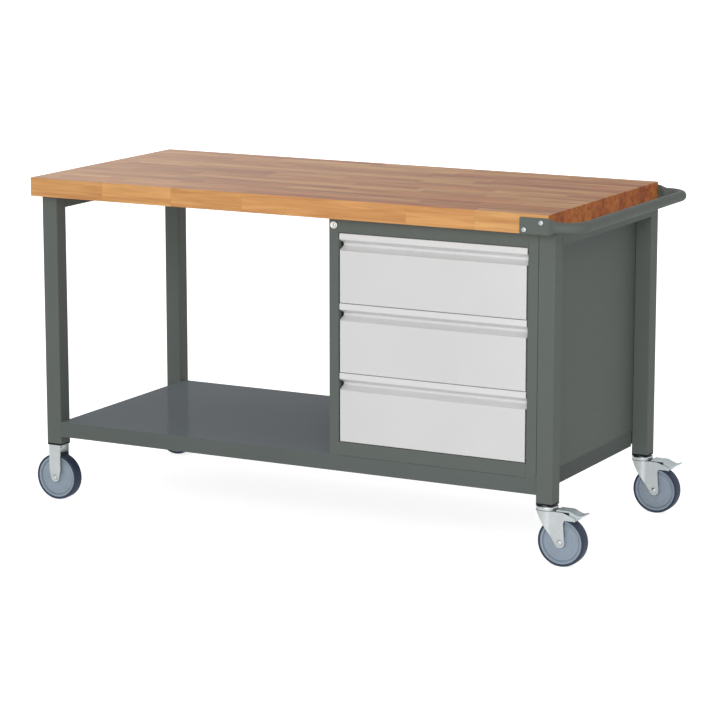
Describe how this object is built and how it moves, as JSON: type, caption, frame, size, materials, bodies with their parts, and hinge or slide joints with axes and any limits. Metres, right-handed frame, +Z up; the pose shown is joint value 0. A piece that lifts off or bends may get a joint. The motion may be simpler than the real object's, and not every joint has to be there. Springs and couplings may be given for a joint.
{
  "type": "mobile workbench",
  "caption": "Workbench on wheels: thick wooden worktop on a steel tube frame with a lower shelf, a drawer cabinet with full-width grips, a push handle and fixed and braked swivel casters",
  "frame": {"origin": "On the floor, under the middle of the bench's outline", "axes": "+X runs along the bench towards the push handle, -Y is the side the drawers open to, +Z is up out of the worktop"},
  "size_m": [1.6174, 0.7314, 0.88],
  "materials": {
    "wood": "oiled, edge-glued beech staves",
    "frame_paint": "matt grey-green powder coat",
    "cabinet_paint": "matt grey-green powder coat",
    "drawer_paint": "satin light grey powder coat",
    "drawer_box_paint": "satin light grey powder coat",
    "slide_steel": "zinc-plated sheet",
    "lock_chrome": "bright nickel",
    "zinc": "zinc-plated steel",
    "wheel_plastic": "moulded grey plastic",
    "tyre": "blue-grey elastic rubber",
    "black_plastic": "moulded black plastic"
  },
  "bodies": {
    "frame": {"worktop": "wood", "leg_plugs": "black_plastic", "worktop_screws": "zinc", "shelf_tray": "cabinet_paint", "cabinet_side_left": "cabinet_paint", "cabinet_side_right": "cabinet_paint", "cabinet_back": "cabinet_paint", "cabinet_top_rail": "cabinet_paint", "cabinet_bottom_rail": "cabinet_paint", "slide_posts": "slide_steel", "cabinet_slides": "slide_steel", "cabinet_screws": "zinc", "lock_housing": "lock_chrome", "push_handle": "frame_paint", "handle_screws": "zinc", "caster_bolts": "zinc", "leg_front_left": "frame_paint", "leg_front_right": "frame_paint", "leg_rear_left": "frame_paint", "leg_rear_right": "frame_paint", "cross_rail_left": "frame_paint", "cross_rail_right": "frame_paint", "fixed_fork_front": "zinc", "fixed_fork_rear": "zinc", "fixed_axle_front": "zinc", "fixed_axle_rear": "zinc", "swivel_race_front": "zinc", "swivel_race_rear": "zinc"},
    "drawer_top": {"drawer_front_top": "drawer_paint", "drawer_grip_top": "drawer_paint", "drawer_box_top": "drawer_box_paint", "drawer_slides_top": "slide_steel"},
    "slide_top": {"middle_slides_top": "slide_steel"},
    "drawer_middle": {"drawer_front_middle": "drawer_paint", "drawer_grip_middle": "drawer_paint", "drawer_box_middle": "drawer_box_paint", "drawer_slides_middle": "slide_steel"},
    "slide_middle": {"middle_slides_middle": "slide_steel"},
    "drawer_bottom": {"drawer_front_bottom": "drawer_paint", "drawer_grip_bottom": "drawer_paint", "drawer_box_bottom": "drawer_box_paint", "drawer_slides_bottom": "slide_steel"},
    "slide_bottom": {"middle_slides_bottom": "slide_steel"},
    "lock_plug": {"lock_plug": "lock_chrome"},
    "lock_bar": {"lock_bar": "zinc"},
    "fixed_wheel_front": {"fixed_hub_front": "wheel_plastic", "fixed_tyre_front": "tyre"},
    "caster_front": {"swivel_fork_front": "zinc", "swivel_axle_front": "zinc"},
    "swivel_wheel_front": {"swivel_hub_front": "wheel_plastic", "swivel_tyre_front": "tyre"},
    "brake_front": {"brake_pedal_front": "zinc"},
    "fixed_wheel_rear": {"fixed_hub_rear": "wheel_plastic", "fixed_tyre_rear": "tyre"},
    "caster_rear": {"swivel_fork_rear": "zinc", "swivel_axle_rear": "zinc"},
    "swivel_wheel_rear": {"swivel_hub_rear": "wheel_plastic", "swivel_tyre_rear": "tyre"},
    "brake_rear": {"brake_pedal_rear": "zinc"}
  },
  "joints": [
    {"name": "drawer_top_slide", "type": "slide", "parent": "frame", "child": "drawer_top", "axis": [0, -1, 0], "range_m": [0, 0.5]},
    {"name": "slide_top_slide", "type": "slide", "parent": "frame", "child": "slide_top", "axis": [0, -1, 0], "range_m": [0, 0.25]},
    {"name": "drawer_middle_slide", "type": "slide", "parent": "frame", "child": "drawer_middle", "axis": [0, -1, 0], "range_m": [0, 0.5]},
    {"name": "slide_middle_slide", "type": "slide", "parent": "frame", "child": "slide_middle", "axis": [0, -1, 0], "range_m": [0, 0.25]},
    {"name": "drawer_bottom_slide", "type": "slide", "parent": "frame", "child": "drawer_bottom", "axis": [0, -1, 0], "range_m": [0, 0.5]},
    {"name": "slide_bottom_slide", "type": "slide", "parent": "frame", "child": "slide_bottom", "axis": [0, -1, 0], "range_m": [0, 0.25]},
    {"name": "lock_turn", "type": "hinge", "parent": "frame", "child": "lock_plug", "pos_m": [0.11175, -0.32, 0.81125], "axis": [0, -1, 0], "range_deg": [0, 90]},
    {"name": "lock_bar_lift", "type": "slide", "parent": "frame", "child": "lock_bar", "axis": [0, 0, 1], "range_m": [0, 0.00848]},
    {"name": "fixed_wheel_front_spin", "type": "hinge", "parent": "frame", "child": "fixed_wheel_front", "pos_m": [-0.74625, -0.2975, 0.0625], "axis": [0, 1, 0], "continuous": true},
    {"name": "caster_front_swivel", "type": "hinge", "parent": "frame", "child": "caster_front", "pos_m": [0.69875, -0.2975, 0.14], "axis": [0, 0, 1], "continuous": true},
    {"name": "swivel_wheel_front_spin", "type": "hinge", "parent": "caster_front", "child": "swivel_wheel_front", "pos_m": [0.74175, -0.2975, 0.0625], "axis": [0, 1, 0], "continuous": true},
    {"name": "brake_front_pedal", "type": "hinge", "parent": "caster_front", "child": "brake_front", "pos_m": [0.77275, -0.2975, 0.1265], "axis": [0, 1, 0], "range_deg": [0, 15]},
    {"name": "fixed_wheel_rear_spin", "type": "hinge", "parent": "frame", "child": "fixed_wheel_rear", "pos_m": [-0.74625, 0.3175, 0.0625], "axis": [0, 1, 0], "continuous": true},
    {"name": "caster_rear_swivel", "type": "hinge", "parent": "frame", "child": "caster_rear", "pos_m": [0.69875, 0.3175, 0.14], "axis": [0, 0, 1], "continuous": true},
    {"name": "swivel_wheel_rear_spin", "type": "hinge", "parent": "caster_rear", "child": "swivel_wheel_rear", "pos_m": [0.74175, 0.3175, 0.0625], "axis": [0, 1, 0], "continuous": true},
    {"name": "brake_rear_pedal", "type": "hinge", "parent": "caster_rear", "child": "brake_rear", "pos_m": [0.77275, 0.3175, 0.1265], "axis": [0, 1, 0], "range_deg": [0, 15]}
  ],
  "couplings": [
    {"joint": "slide_top_slide", "follows": "drawer_top_slide", "ratio": 0.5},
    {"joint": "slide_middle_slide", "follows": "drawer_middle_slide", "ratio": 0.5},
    {"joint": "slide_bottom_slide", "follows": "drawer_bottom_slide", "ratio": 0.5},
    {"joint": "lock_turn", "follows": "lock_bar_lift", "rad_per_m": 185.12}
  ]
}
